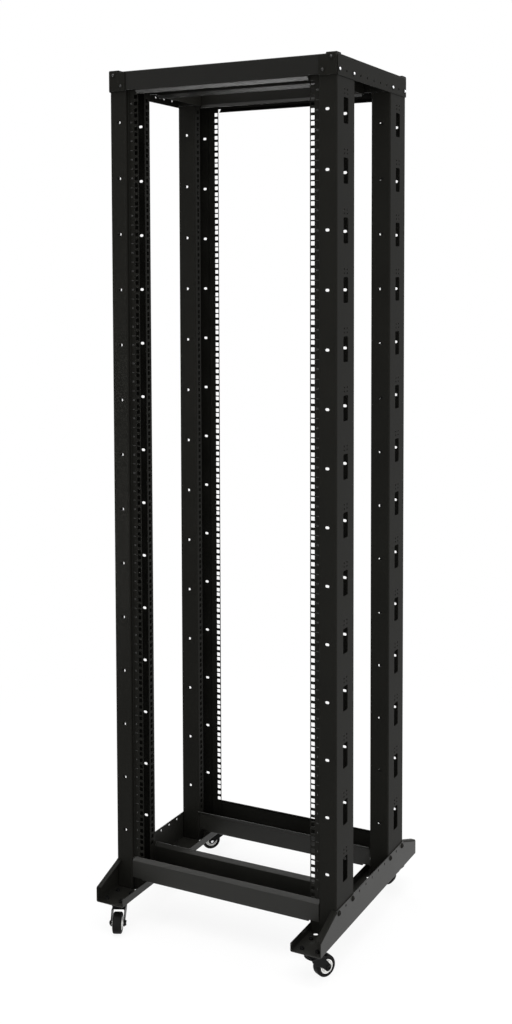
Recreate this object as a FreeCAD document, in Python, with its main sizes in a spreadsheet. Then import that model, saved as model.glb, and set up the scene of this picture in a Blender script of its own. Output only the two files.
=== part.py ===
import FreeCAD, Part
import math
import os
import Sketcher

# A four post open frame rack of folded sheet steel, 42 units tall, on four swivel castors.
# X runs across the rack, -Y is the front, +Z is up. The origin is on the floor under the middle.

doc = FreeCAD.newDocument("OpenFrameRack")


# ---------------------------------------------------------------- driving dimensions, in mm
class Size:
    """A number together with the sheet expression that gives it."""

    def __init__(self, value, text):
        self.value = value
        self.text = text

    def joined(self, sign, other, value):
        return Size(value, f"({self.text} {sign} {other.text})")

    def __add__(self, other):
        other = as_size(other)
        return self.joined("+", other, self.value + other.value)

    def __sub__(self, other):
        other = as_size(other)
        return self.joined("-", other, self.value - other.value)

    def __mul__(self, other):
        other = as_size(other)
        return self.joined("*", other, self.value * other.value)

    def __truediv__(self, other):
        other = as_size(other)
        return self.joined("/", other, self.value / other.value)

    def __neg__(self):
        return Size(-self.value, f"(-1 * {self.text})")


def as_size(number):
    """A plain number as a Size, and a Size as it is."""
    if isinstance(number, Size):
        return number
    return Size(number, f"({number})")


sheet = doc.addObject("Spreadsheet::Sheet", "Sizes")
sheet_rows = 0


def sheet_cell(alias, content, value):
    """Write one aliased cell and return the size that reads it."""
    global sheet_rows
    sheet_rows += 1
    sheet.set(f"A{sheet_rows}", alias)
    sheet.set(f"B{sheet_rows}", content)
    sheet.setAlias(f"B{sheet_rows}", alias)
    return Size(value, f"Sizes.{alias}")


def size(alias, value):
    """A driving dimension: a plain number in the sheet."""
    return sheet_cell(alias, str(value), value)


def derived(alias, formula):
    """A dimension that follows from others: a formula in the sheet."""
    return sheet_cell(alias, "=" + formula.text.replace("Sizes.", ""), formula.value)


# The equipment bay: square holes in groups of three to each rack unit.
units = size("units", 42)
unit_pitch = size("unit_pitch", 44.45)
first_hole = size("first_hole", 6.35)
second_hole = size("second_hole", 22.225)
third_hole = size("third_hole", 38.1)
square_hole = size("square_hole", 9.5)
hole_spacing = size("hole_spacing", 465.12)
rack_opening = size("rack_opening", 452)

# The frame, over the outer faces of its posts.
rack_width = size("rack_width", 594)
post_spacing = size("post_spacing", 320)
steel = size("steel", 2)
inner_bend = size("inner_bend", 1.5)
outer_bend = derived("outer_bend", inner_bend + steel)

# The posts: the mounting flange steps back from the front face, the back face has a return lip.
post_depth = size("post_depth", 100)
post_face = size("post_face", 44)
plain_face = size("plain_face", 50)
flange_step = size("flange_step", 11)
lip_depth = size("lip_depth", 26)
face_hole_length = size("face_hole_length", 10)
face_hole_height = size("face_hole_height", 6.4)
face_hole_inset = size("face_hole_inset", 23.5)
face_hole_units = size("face_hole_units", 3)
slot_width = size("slot_width", 26)
slot_height = size("slot_height", 58)

# The beams across the front and rear, and the members along the top sides.
beam_height = size("beam_height", 54)
base_beam_rise = size("base_beam_rise", 29)
beam_hem = size("beam_hem", 8)
beam_gap = size("beam_gap", 0.5)
spacer_diameter = size("spacer_diameter", 14)
spacer_inset = size("spacer_inset", 58)
side_member_width = size("side_member_width", 70)
side_member_height = size("side_member_height", 48)
corner_plate_height = size("corner_plate_height", 50)
corner_tab_length = size("corner_tab_length", 24)
corner_tab_width = size("corner_tab_width", 25)
plate_thickness = size("plate_thickness", 3)

# The feet: open channels along the depth, with a tall outer wall that slopes down to the ends.
foot_length = size("foot_length", 600)
foot_width = size("foot_width", 76)
foot_end_height = size("foot_end_height", 38)
foot_height = size("foot_height", 70)
foot_inner_height = size("foot_inner_height", 20)
foot_slope = size("foot_slope", 90)
slope_flange = size("slope_flange", 14)

# The castors.
castor_height = size("castor_height", 75)
castor_inset = size("castor_inset", 35)
castor_setback = size("castor_setback", 44)
mount_thickness = size("mount_thickness", 3)
mount_length = size("mount_length", 66)
mount_width = size("mount_width", 54)
housing_diameter = size("housing_diameter", 40)
housing_height = size("housing_height", 9)
swivel_gap = size("swivel_gap", 0.4)
ring_diameter = size("ring_diameter", 38)
ring_height = size("ring_height", 7)
pin_diameter = size("pin_diameter", 10)
pin_head = size("pin_head", 18)
pin_head_height = size("pin_head_height", 3)
running_fit = size("running_fit", 0.05)
fork_width = size("fork_width", 34)
fork_sheet = size("fork_sheet", 2.5)
fork_trail = size("fork_trail", 28)
fork_boss = size("fork_boss", 17)
wheel_diameter = size("wheel_diameter", 50)
wheel_width = size("wheel_width", 22)
tread_round = size("tread_round", 4)
rim_diameter = size("rim_diameter", 33)
hub_recess = size("hub_recess", 2.5)
hub_recess_inner = size("hub_recess_inner", 18)
hub_recess_outer = size("hub_recess_outer", 28)
hub_boss = size("hub_boss", 14)
hub_side_gap = size("hub_side_gap", 0.5)
axle_diameter = size("axle_diameter", 8)
axle_head = size("axle_head", 13)
axle_head_height = size("axle_head_height", 4)

# Heights and reaches that follow from the driving dimensions.
post_foot = derived("post_foot", castor_height + steel)
base_beam_bottom = derived("base_beam_bottom", castor_height + base_beam_rise)
bay_bottom = derived("bay_bottom", base_beam_bottom + beam_height)
bay_height = derived("bay_height", units * unit_pitch)
bay_top = derived("bay_top", bay_bottom + bay_height)
rack_top = derived("rack_top", bay_top + beam_height)
half_width = derived("half_width", rack_width / 2)
half_depth = derived("half_depth", (post_spacing + post_depth) / 2)
half_opening = derived("half_opening", rack_opening / 2)
half_flange_span = derived("half_flange_span", half_width - post_face)
half_lip_span = derived("half_lip_span", half_width - plain_face)
outer_wall = derived("outer_wall", half_width + steel)
stem_across = derived("stem_across", half_width - castor_inset)
stem_along = derived("stem_along", foot_length / 2 - castor_setback)
ring_top = derived("ring_top", castor_height - mount_thickness - housing_height - swivel_gap)
fork_top = derived("fork_top", ring_top - ring_height)
fork_inside = derived("fork_inside", fork_width / 2 - fork_sheet)
axle_height = derived("axle_height", wheel_diameter / 2)
doc.recompute()

SIDES = {"left": -1, "right": 1}
ENDS = {"front": -1, "rear": 1}
# Which way each castor trails at rest, in degrees from +X.
TRAIL_ANGLES = {"front_left": -65, "front_right": 61, "rear_left": -138, "rear_right": 178}

subparts = []


# ---------------------------------------------------------------- how a sub-part is drawn
def new_body(name):
    """An empty body for one sub-part, whose label is also the name of its file."""
    body = doc.addObject("PartDesign::Body", name)
    body.Label = name
    subparts.append(body)
    return body


def origin_feature(body, role):
    """One of the body's own origin planes or axes."""
    return [feature for feature in body.Origin.OriginFeatures if feature.Role == role][0]


def sketch_on(body, plane, name, offset=0):
    """A sketch on one of the body's own origin planes, moved along its normal."""
    sketch = body.newObject("Sketcher::SketchObject", f"{body.Name}_{name}")
    sketch.AttachmentSupport = (origin_feature(body, plane), "")
    sketch.MapMode = "FlatFace"
    sketch.setExpression(".AttachmentOffset.Base.z", as_size(offset).text)
    sketch.Visibility = False
    return sketch


def outline(sketch, corners):
    """A closed outline of straight lines, each corner held by two bound distances."""
    corners = [(as_size(x), as_size(y)) for x, y in corners]
    points = [FreeCAD.Vector(x.value, y.value, 0) for x, y in corners]
    first = sketch.GeometryCount
    count = len(points)
    for index in range(count):
        line = Part.LineSegment(points[index], points[(index + 1) % count])
        sketch.addGeometry(line, False)
    for index in range(count):
        following = first + (index + 1) % count
        sketch.addConstraint(Sketcher.Constraint("Coincident", first + index, 2, following, 1))
    for index, (x, y) in enumerate(corners):
        hold(sketch, "DistanceX", (-1, 1, first + index, 1), x)
        hold(sketch, "DistanceY", (-1, 1, first + index, 1), y)


def hold(sketch, kind, places, length):
    """A dimension of the sketch, bound to the sheet."""
    number = sketch.addConstraint(Sketcher.Constraint(kind, *places, length.value))
    sketch.setExpression(f"Constraints[{number}]", length.text)


def rectangle(sketch, x, y, width, height):
    """A rectangle centred on x, y."""
    x, y, width, height = as_size(x), as_size(y), as_size(width), as_size(height)
    outline(sketch, [
        (x - width / 2, y - height / 2),
        (x + width / 2, y - height / 2),
        (x + width / 2, y + height / 2),
        (x - width / 2, y + height / 2),
    ])


def circle(sketch, x, y, diameter):
    """A circle of bound diameter centred on x, y."""
    x, y = as_size(x), as_size(y)
    centre = FreeCAD.Vector(x.value, y.value, 0)
    ring = Part.Circle(centre, FreeCAD.Vector(0, 0, 1), diameter.value / 2)
    number = sketch.addGeometry(ring, False)
    hold(sketch, "DistanceX", (-1, 1, number, 3), x)
    hold(sketch, "DistanceY", (-1, 1, number, 3), y)
    hold(sketch, "Diameter", (number,), diameter)


def oblong(sketch, x, y, length, height):
    """A level slot with round ends, centred on x, y."""
    x, y, length, height = as_size(x), as_size(y), as_size(length), as_size(height)
    radius, reach = height / 2, (length - height) / 2
    ends = []
    for hand, start in ((-1, math.pi / 2), (1, -math.pi / 2)):
        centre = FreeCAD.Vector((x + reach * hand).value, y.value, 0)
        ring = Part.Circle(centre, FreeCAD.Vector(0, 0, 1), radius.value)
        arc = sketch.addGeometry(Part.ArcOfCircle(ring, start, start + math.pi), False)
        hold(sketch, "DistanceX", (-1, 1, arc, 3), x + reach * hand)
        hold(sketch, "DistanceY", (-1, 1, arc, 3), y)
        hold(sketch, "Radius", (arc,), radius)
        ends.append((arc, centre))
    for (first, start), (second, finish), rise in ((ends[0], ends[1], -1), (ends[1], ends[0], 1)):
        drop = FreeCAD.Vector(0, radius.value * rise, 0)
        line = sketch.addGeometry(Part.LineSegment(start + drop, finish + drop), False)
        sketch.addConstraint(Sketcher.Constraint("Tangent", line, 1, first, 2))
        sketch.addConstraint(Sketcher.Constraint("Tangent", line, 2, second, 1))


def pad(body, sketch, length, both_ways=False):
    """Extrude a sketch along its normal, or half each way from its plane."""
    feature = body.newObject("PartDesign::Pad", f"{sketch.Name}_pad")
    feature.Profile = sketch
    feature.Midplane = both_ways
    feature.setExpression("Length", length.text)
    body.Tip = feature
    return feature


def cut_through(body, sketch, depth):
    """Cut a sketch half each way from its plane, over this depth in all."""
    feature = body.newObject("PartDesign::Pocket", f"{sketch.Name}_cut")
    feature.Profile = sketch
    feature.Midplane = True
    feature.setExpression("Length", depth.text)
    body.Tip = feature
    return feature


def repeat_up(body, feature, spacing, count):
    """Repeat a feature up the height of the rack."""
    pattern = body.newObject("PartDesign::LinearPattern", f"{feature.Name}_row")
    pattern.Originals = [feature]
    pattern.Direction = (origin_feature(body, "Z_Axis"), [""])
    pattern.setExpression("Length", (spacing * (count - 1)).text)
    pattern.setExpression("Occurrences", count.text)
    body.Tip = pattern
    return pattern


def bend(body, axis, corners, radius):
    """Round the long edges that run along an axis through these corners of the section."""
    doc.recompute()
    base = body.Tip
    across = {"X": (1, 2), "Y": (0, 2), "Z": (0, 1)}[axis]
    names = []
    for number, edge in enumerate(base.Shape.Edges, start=1):
        middle = edge.CenterOfMass
        for first, second in corners:
            offsets = (middle[across[0]] - as_size(first).value, middle[across[1]] - as_size(second).value)
            if math.hypot(*offsets) < 0.01 and edge.Length > 20:
                names.append(f"Edge{number}")
    feature = body.newObject("PartDesign::Fillet", f"{body.Name}_bend")
    feature.Base = (base, names)
    feature.setExpression("Radius", radius.text)
    body.Tip = feature
    return feature


# ---------------------------------------------------------------- posts
def post(end_name, side_name):
    """One folded post: stepped mounting flange, face, side, opposite face and return lip."""
    end, side = ENDS[end_name], SIDES[side_name]

    def place(inset, setback):
        """A point this far in from the outer side and back from the mounting face."""
        return (half_width - inset) * side, (half_depth - setback) * end

    flange_edge = half_width - half_opening
    body = new_body(f"post_{end_name}_{side_name}")
    section = sketch_on(body, "XY_Plane", "section", post_foot)
    outline(section, [
        place(flange_edge, flange_step),
        place(post_face, flange_step),
        place(post_face, 0),
        place(0, 0),
        place(0, post_depth),
        place(plain_face, post_depth),
        place(plain_face, post_depth - lip_depth),
        place(plain_face - steel, post_depth - lip_depth),
        place(plain_face - steel, post_depth - steel),
        place(steel, post_depth - steel),
        place(steel, steel),
        place(post_face - steel, steel),
        place(post_face - steel, flange_step + steel),
        place(flange_edge, flange_step + steel),
    ])
    pad(body, section, rack_top - steel - post_foot)
    outer_corners = [
        place(post_face - steel, flange_step + steel),
        place(post_face, 0),
        place(0, 0),
        place(0, post_depth),
        place(plain_face, post_depth),
    ]
    inner_corners = [
        place(post_face, flange_step),
        place(post_face - steel, steel),
        place(steel, steel),
        place(steel, post_depth - steel),
        place(plain_face - steel, post_depth - steel),
    ]
    bend(body, "Z", outer_corners, outer_bend)
    bend(body, "Z", inner_corners, inner_bend)

    hole_x, flange_y = hole_spacing / 2 * side, (half_depth - flange_step - steel / 2) * end
    squares = sketch_on(body, "XZ_Plane", "square_holes", -flange_y)
    for height in (first_hole, second_hole, third_hole):
        rectangle(squares, hole_x, bay_bottom + height, square_hole, square_hole)
    repeat_up(body, cut_through(body, squares, steel * 3), unit_pitch, units)

    face_x, middle_y = place(face_hole_inset, post_depth / 2)
    first_height = bay_bottom + unit_pitch * face_hole_units / 2
    group_pitch = unit_pitch * face_hole_units
    face_holes = sketch_on(body, "XZ_Plane", "face_holes", -middle_y)
    oblong(face_holes, face_x, first_height, face_hole_length, face_hole_height)
    face_cut = cut_through(body, face_holes, post_depth + steel * 2)
    repeat_up(body, face_cut, group_pitch, units / face_hole_units)

    slot_x, slot_y = place(steel / 2, post_depth / 2)
    slots = sketch_on(body, "YZ_Plane", "side_slots", slot_x)
    rectangle(slots, slot_y, first_height, slot_width, slot_height)
    repeat_up(body, cut_through(body, slots, steel * 3), group_pitch, units / face_hole_units)


# ---------------------------------------------------------------- beams and side members
def top_beam(end_name):
    """An inverted channel over the tops of two posts, with sloping hems between the flanges."""
    end = ENDS[end_name]

    def at(setback, height):
        return (half_depth - setback) * end, height

    body = new_body(f"top_beam_{end_name}")
    wall_foot = bay_top + beam_hem
    section = sketch_on(body, "YZ_Plane", "section")
    outline(section, [
        at(-steel, wall_foot),
        at(-steel, rack_top),
        at(post_depth + steel, rack_top),
        at(post_depth + steel, wall_foot),
        at(post_depth, wall_foot),
        at(post_depth, rack_top - steel),
        at(0, rack_top - steel),
        at(0, wall_foot),
    ])
    pad(body, section, rack_width, both_ways=True)
    bend(body, "X", [at(-steel, rack_top), at(post_depth + steel, rack_top)], outer_bend)
    hems = sketch_on(body, "YZ_Plane", "hems")
    for wall in (-steel, post_depth):
        outline(hems, [
            at(wall, wall_foot),
            at(wall + steel, wall_foot),
            at(wall + steel + beam_hem, bay_top),
            at(wall + beam_hem, bay_top),
        ])
    pad(body, hems, rack_opening - beam_gap * 2, both_ways=True)


def base_beam(end_name):
    """A channel that opens upward between the posts, held off the mounting flanges by spacers."""
    end = ENDS[end_name]

    def at(setback, height):
        return (half_depth - setback) * end, height

    body = new_body(f"base_beam_{end_name}")
    wall_top = bay_bottom - beam_hem
    floor_sketch = sketch_on(body, "YZ_Plane", "section")
    inside = post_depth - steel
    outline(floor_sketch, [
        at(0, wall_top),
        at(0, base_beam_bottom),
        at(inside, base_beam_bottom),
        at(inside, wall_top),
        at(inside - steel, wall_top),
        at(inside - steel, base_beam_bottom + steel),
        at(steel, base_beam_bottom + steel),
        at(steel, wall_top),
    ])
    pad(body, floor_sketch, rack_opening - beam_gap * 2, both_ways=True)
    bend(body, "X", [at(0, base_beam_bottom), at(inside, base_beam_bottom)], outer_bend)
    middle_z = base_beam_bottom + beam_height / 2
    for name, wall, half_reach in (
        ("face", as_size(0), half_flange_span),
        ("back", inside - steel, half_lip_span),
    ):
        reach = (half_reach - beam_gap) * 2
        hem = sketch_on(body, "YZ_Plane", f"{name}_hem")
        outline(hem, [
            at(wall, wall_top),
            at(wall + steel, wall_top),
            at(wall + steel + beam_hem, bay_bottom),
            at(wall + beam_hem, bay_bottom),
        ])
        pad(body, hem, reach, both_ways=True)
        wall_y = (half_depth - wall - steel / 2) * end
        ears = sketch_on(body, "XZ_Plane", f"{name}_ears", -wall_y)
        rectangle(ears, 0, middle_z, reach, beam_height - beam_hem * 2)
        pad(body, ears, steel, both_ways=True)
    spacers = sketch_on(body, "XZ_Plane", "spacers", -(half_depth - flange_step / 2) * end)
    for side in SIDES.values():
        circle(spacers, (half_width - spacer_inset) * side, middle_z, spacer_diameter)
    pad(body, spacers, flange_step, both_ways=True)


def side_member(side_name):
    """The folded member along one top side: a wall outside the posts, a top and an inner wall."""
    side = SIDES[side_name]
    body = new_body(f"side_member_{side_name}")
    outer = sketch_on(body, "XZ_Plane", "outer_wall")
    wall_z = rack_top - side_member_height / 2
    rectangle(outer, (half_width + steel / 2) * side, wall_z, steel, side_member_height)
    pad(body, outer, half_depth * 2, both_ways=True)
    inner = sketch_on(body, "XZ_Plane", "top_and_inner_wall")
    reach = half_width - side_member_width
    outline(inner, [
        (half_width * side, rack_top),
        (reach * side, rack_top),
        (reach * side, rack_top - side_member_height),
        ((reach + steel) * side, rack_top - side_member_height),
        ((reach + steel) * side, rack_top - steel),
        (half_width * side, rack_top - steel),
    ])
    pad(body, inner, (half_depth - post_depth - steel - beam_gap) * 2, both_ways=True)


def corner_plate(end_name, side_name):
    """A plate over the end of a top beam, with a narrow tab folded back on top at its outer edge."""
    end, side = ENDS[end_name], SIDES[side_name]
    body = new_body(f"corner_plate_{end_name}_{side_name}")
    face = (half_depth + steel) * end
    front = (half_depth + steel + plate_thickness) * end
    tab_end = (half_depth + steel - corner_tab_length) * end
    top = rack_top + plate_thickness
    shoulder = rack_top - steel
    tab = sketch_on(body, "YZ_Plane", "tab", (half_width - corner_tab_width / 2) * side)
    outline(tab, [
        (face, shoulder),
        (face, rack_top),
        (tab_end, rack_top),
        (tab_end, top),
        (front, top),
        (front, shoulder),
    ])
    pad(body, tab, corner_tab_width, both_ways=True)
    bend(body, "X", [(front, top)], outer_bend)
    plate = sketch_on(body, "YZ_Plane", "plate", (half_width - post_face / 2) * side)
    outline(plate, [
        (face, top - corner_plate_height),
        (face, shoulder),
        (front, shoulder),
        (front, top - corner_plate_height),
    ])
    pad(body, plate, post_face, both_ways=True)


# ---------------------------------------------------------------- feet
def foot(side_name):
    """A channel along the depth: floor, low inner wall, tall outer wall with sloping ends."""
    side = SIDES[side_name]
    body = new_body(f"foot_{side_name}")
    inner_wall = outer_wall - foot_width
    section = sketch_on(body, "XZ_Plane", "section")
    outline(section, [
        (outer_wall * side, castor_height),
        (outer_wall * side, castor_height + foot_end_height),
        (half_width * side, castor_height + foot_end_height),
        (half_width * side, post_foot),
        ((inner_wall + steel) * side, post_foot),
        ((inner_wall + steel) * side, castor_height + foot_inner_height),
        (inner_wall * side, castor_height + foot_inner_height),
        (inner_wall * side, castor_height),
    ])
    pad(body, section, foot_length, both_ways=True)
    bend(body, "Y", [(outer_wall * side, castor_height), (inner_wall * side, castor_height)], outer_bend)

    low, high = castor_height + foot_end_height, castor_height + foot_height
    raised = sketch_on(body, "YZ_Plane", "raised_wall", (half_width + steel / 2) * side)
    outline(raised, [
        (-(foot_length / 2), low),
        (foot_length / 2, low),
        (foot_length / 2 - foot_slope, high),
        (-(foot_length / 2 - foot_slope), high),
    ])
    pad(body, raised, steel, both_ways=True)
    flanges = sketch_on(body, "YZ_Plane", "slope_flanges", (half_width - slope_flange / 2) * side)
    for end in ENDS.values():
        outline(flanges, [
            (foot_length / 2 * end, low),
            ((foot_length / 2 - foot_slope) * end, high),
            ((foot_length / 2 - foot_slope) * end, high - steel),
            (foot_length / 2 * end, low - steel),
        ])
    pad(body, flanges, slope_flange, both_ways=True)


# ---------------------------------------------------------------- castors
def castor_mount(body):
    """The plate under the foot with the swivel housing and its pin."""
    plate = sketch_on(body, "XY_Plane", "plate", castor_height - mount_thickness)
    rectangle(plate, 0, 0, mount_width, mount_length)
    pad(body, plate, mount_thickness)
    housing = sketch_on(body, "XY_Plane", "housing", ring_top + swivel_gap)
    circle(housing, 0, 0, housing_diameter)
    pad(body, housing, housing_height)
    pin_foot = fork_top - fork_sheet - swivel_gap
    pin = sketch_on(body, "XY_Plane", "pin", pin_foot)
    circle(pin, 0, 0, pin_diameter)
    pad(body, pin, ring_top + swivel_gap - pin_foot)
    head = sketch_on(body, "XY_Plane", "pin_head", pin_foot - pin_head_height)
    circle(head, 0, 0, pin_head)
    pad(body, head, pin_head_height)


def castor_ring(body):
    """The ball race that turns with the fork."""
    ring = sketch_on(body, "XY_Plane", "ring", fork_top)
    circle(ring, 0, 0, ring_diameter)
    circle(ring, 0, 0, pin_diameter + running_fit * 2)
    pad(body, ring, ring_height)


def castor_fork(body):
    """A crown plate with two legs that taper down to the axle."""
    crown = sketch_on(body, "XY_Plane", "crown", fork_top - fork_sheet)
    outline(crown, [
        (-(fork_width / 2), -(fork_width / 2)),
        (fork_width / 2, -(fork_width / 2)),
        (fork_width / 2, fork_width / 2),
        (-(fork_width / 2), fork_width / 2),
    ])
    circle(crown, 0, 0, pin_diameter + running_fit * 2)
    pad(body, crown, fork_sheet)
    for name, side in (("near", -1), ("far", 1)):
        offset = (fork_inside + fork_sheet / 2) * side
        leg = sketch_on(body, "XZ_Plane", f"{name}_leg", offset)
        outline(leg, [
            (-(fork_width / 2), fork_top),
            (fork_trail - fork_boss / 2, axle_height),
            (fork_trail + fork_boss / 2, axle_height),
            (fork_width / 2 + fork_sheet, fork_top),
        ])
        pad(body, leg, fork_sheet, both_ways=True)
        boss = sketch_on(body, "XZ_Plane", f"{name}_boss", offset)
        circle(boss, fork_trail, axle_height, fork_boss)
        pad(body, boss, fork_sheet, both_ways=True)
    bore = sketch_on(body, "XZ_Plane", "axle_bore")
    circle(bore, fork_trail, axle_height, axle_diameter + running_fit * 2)
    cut_through(body, bore, fork_width + fork_sheet)


def castor_axle(body):
    """The bolt through the legs, with a head and a nut."""
    shank = sketch_on(body, "XZ_Plane", "shank")
    circle(shank, fork_trail, axle_height, axle_diameter)
    pad(body, shank, fork_width + axle_head_height, both_ways=True)
    for name, side in (("head", -1), ("nut", 1)):
        end = sketch_on(body, "XZ_Plane", name, (fork_width + axle_head_height) / 2 * side)
        circle(end, fork_trail, axle_height, axle_head)
        pad(body, end, axle_head_height, both_ways=True)


def castor_tyre(body):
    """The tread round the wheel, rounded at both shoulders."""
    tyre = sketch_on(body, "XZ_Plane", "tyre")
    circle(tyre, fork_trail, axle_height, wheel_diameter)
    circle(tyre, fork_trail, axle_height, rim_diameter)
    feature = pad(body, tyre, wheel_width, both_ways=True)
    doc.recompute()
    names = []
    for number, edge in enumerate(feature.Shape.Edges, start=1):
        if hasattr(edge.Curve, "Radius") and abs(edge.Curve.Radius - wheel_diameter.value / 2) < 0.01:
            names.append(f"Edge{number}")
    shoulders = body.newObject("PartDesign::Fillet", f"{body.Name}_shoulders")
    shoulders.Base = (feature, names)
    shoulders.setExpression("Radius", tread_round.text)
    body.Tip = shoulders


def castor_hub(body):
    """The wheel's centre, recessed on both faces, with a boss that spaces it from the legs."""
    disc = sketch_on(body, "XZ_Plane", "disc")
    circle(disc, fork_trail, axle_height, rim_diameter)
    circle(disc, fork_trail, axle_height, axle_diameter + running_fit * 2)
    pad(body, disc, wheel_width, both_ways=True)
    for name, side in (("near", -1), ("far", 1)):
        groove = sketch_on(body, "XZ_Plane", f"{name}_recess", wheel_width / 2 * side)
        circle(groove, fork_trail, axle_height, hub_recess_outer)
        circle(groove, fork_trail, axle_height, hub_recess_inner)
        cut_through(body, groove, hub_recess * 2)
    boss = sketch_on(body, "XZ_Plane", "boss")
    circle(boss, fork_trail, axle_height, hub_boss)
    circle(boss, fork_trail, axle_height, axle_diameter + running_fit * 2)
    pad(body, boss, (fork_inside - hub_side_gap) * 2, both_ways=True)


CASTOR_PIECES = {
    "mount": castor_mount,
    "ring": castor_ring,
    "fork": castor_fork,
    "axle": castor_axle,
    "tyre": castor_tyre,
    "hub": castor_hub,
}


def castor(end_name, side_name):
    """One castor, drawn on its swivel axis and set under the end of a foot."""
    corner = f"{end_name}_{side_name}"
    stem = (stem_across * SIDES[side_name], stem_along * ENDS[end_name])
    for piece, draw in CASTOR_PIECES.items():
        body = new_body(f"castor_{piece}_{corner}")
        draw(body)
        body.setExpression(".Placement.Base.x", stem[0].text)
        body.setExpression(".Placement.Base.y", stem[1].text)
        angle = 0 if piece == "mount" else TRAIL_ANGLES[corner]
        body.Placement.Rotation = FreeCAD.Rotation(FreeCAD.Vector(0, 0, 1), angle)


# ---------------------------------------------------------------- the rack
for end_name in ENDS:
    for side_name in SIDES:
        post(end_name, side_name)
        corner_plate(end_name, side_name)
        castor(end_name, side_name)
    top_beam(end_name)
    base_beam(end_name)
for side_name in SIDES:
    side_member(side_name)
    foot(side_name)
doc.recompute()

faults = [item.Name for item in doc.Objects if "Invalid" in item.State or "Error" in item.State]
for body in subparts:
    if body.Shape.isNull() or not body.Shape.isValid() or len(body.Shape.Solids) != 1:
        faults.append(body.Name)
if faults:
    raise RuntimeError("these objects failed: " + ", ".join(faults))

os.makedirs("parts", exist_ok=True)
for body in subparts:
    body.Shape.exportStep(f"parts/{body.Label}.step")
    print(f"{body.Label}: {body.Shape.Volume / 1000:.1f} cm3, {len(body.Shape.Faces)} faces")
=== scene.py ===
import bmesh
import bpy
import math
from mathutils import Matrix, Vector, geometry


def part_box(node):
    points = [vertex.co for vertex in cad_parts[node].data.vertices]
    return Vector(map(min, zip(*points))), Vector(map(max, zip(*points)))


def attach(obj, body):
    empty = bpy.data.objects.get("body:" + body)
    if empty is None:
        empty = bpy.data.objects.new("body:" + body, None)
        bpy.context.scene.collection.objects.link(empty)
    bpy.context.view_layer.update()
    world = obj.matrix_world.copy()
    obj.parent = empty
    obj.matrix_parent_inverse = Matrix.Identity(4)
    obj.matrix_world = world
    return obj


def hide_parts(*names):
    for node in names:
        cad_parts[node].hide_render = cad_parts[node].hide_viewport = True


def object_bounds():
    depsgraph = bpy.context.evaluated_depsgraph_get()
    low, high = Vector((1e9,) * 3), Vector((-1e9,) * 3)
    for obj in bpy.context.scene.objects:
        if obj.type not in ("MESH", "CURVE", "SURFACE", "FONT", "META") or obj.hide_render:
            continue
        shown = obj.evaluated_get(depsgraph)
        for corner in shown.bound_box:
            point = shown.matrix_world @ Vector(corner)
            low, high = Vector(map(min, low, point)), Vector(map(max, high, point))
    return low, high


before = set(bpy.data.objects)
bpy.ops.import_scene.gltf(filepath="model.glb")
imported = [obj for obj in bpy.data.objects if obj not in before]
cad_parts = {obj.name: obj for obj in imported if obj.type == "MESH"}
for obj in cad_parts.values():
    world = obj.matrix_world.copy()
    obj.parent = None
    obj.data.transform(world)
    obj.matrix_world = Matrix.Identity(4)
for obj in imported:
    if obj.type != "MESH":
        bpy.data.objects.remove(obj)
cad_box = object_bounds()
mm = 0.001

# ------------------------------------------------------------------ studio
# A plain pale floor under soft, even light, and a camera at standing eye height to the
# right of the rack. The floor shows white and keeps a light shadow of the rack.

EYE = Vector((1.466, -2.870, 1.585))
EYE_TURN, EYE_TILT, EYE_ROLL = math.radians(27.27), math.radians(-3.40), math.radians(-0.17)
LENS = 45.98
LENS_SHIFT = -0.1523

camera_data = bpy.data.cameras.new("camera")
camera_data.sensor_fit = "VERTICAL"
camera_data.sensor_height = 36
camera_data.lens = LENS
camera_data.shift_y = LENS_SHIFT
camera = bpy.data.objects.new("camera", camera_data)
camera.location = EYE
camera.rotation_euler = (
    Matrix.Rotation(EYE_TURN, 3, "Z") @ Matrix.Rotation(math.pi / 2 + EYE_TILT, 3, "X")
    @ Matrix.Rotation(EYE_ROLL, 3, "Z")
).to_euler()
bpy.context.scene.collection.objects.link(camera)
bpy.context.scene.camera = camera
bpy.context.scene.view_settings.view_transform = "Standard"


class Socket:
    """One output of a material's nodes. Sums and products with it add Math nodes."""

    def __init__(self, tree, socket):
        self.tree = tree
        self.socket = socket

    def node(self, kind, settings=None, output=0, **inputs):
        """Another node: its settings are made first, then the values or links of its sockets."""
        node = self.tree.nodes.new(kind)
        for name, value in (settings or {}).items():
            setattr(node, name, value)
        for name, value in inputs.items():
            if name.startswith("at"):
                place = node.inputs[int(name[2:])]
            else:
                place = node.inputs[name.replace("_", " ")]
            if isinstance(value, Socket):
                self.tree.links.new(value.socket, place)
            else:
                place.default_value = value
        return Socket(self.tree, node.outputs[output])

    def maths(self, operation, first, second):
        return self.node("ShaderNodeMath", {"operation": operation}, at0=first, at1=second)

    def __add__(self, other):
        return self.maths("ADD", self, other)

    def __mul__(self, other):
        return self.maths("MULTIPLY", self, other)

    def least(self, other):
        return self.maths("MINIMUM", self, other)

    def most(self, other):
        return self.maths("MAXIMUM", self, other)


def blank_material(name):
    """A material with an empty node tree, its output node and its coordinates in metres."""
    material = bpy.data.materials.new(name)
    material.use_nodes = True
    tree = material.node_tree
    tree.nodes.clear()
    output = tree.nodes.new("ShaderNodeOutputMaterial")
    coordinates = tree.nodes.new("ShaderNodeTexCoord")
    return material, output, Socket(tree, coordinates.outputs["Object"])


def link_surface(output, shader):
    shader.tree.links.new(shader.socket, output.inputs["Surface"])


FLOOR_SIZE = 40
floor_mesh = bpy.data.meshes.new("floor")
half = FLOOR_SIZE / 2
floor_mesh.from_pydata(
    [(-half, -half, 0), (half, -half, 0), (half, half, 0), (-half, half, 0)], [], [(0, 1, 2, 3)]
)
floor = bpy.data.objects.new("floor", floor_mesh)
bpy.context.scene.collection.objects.link(floor)


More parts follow.
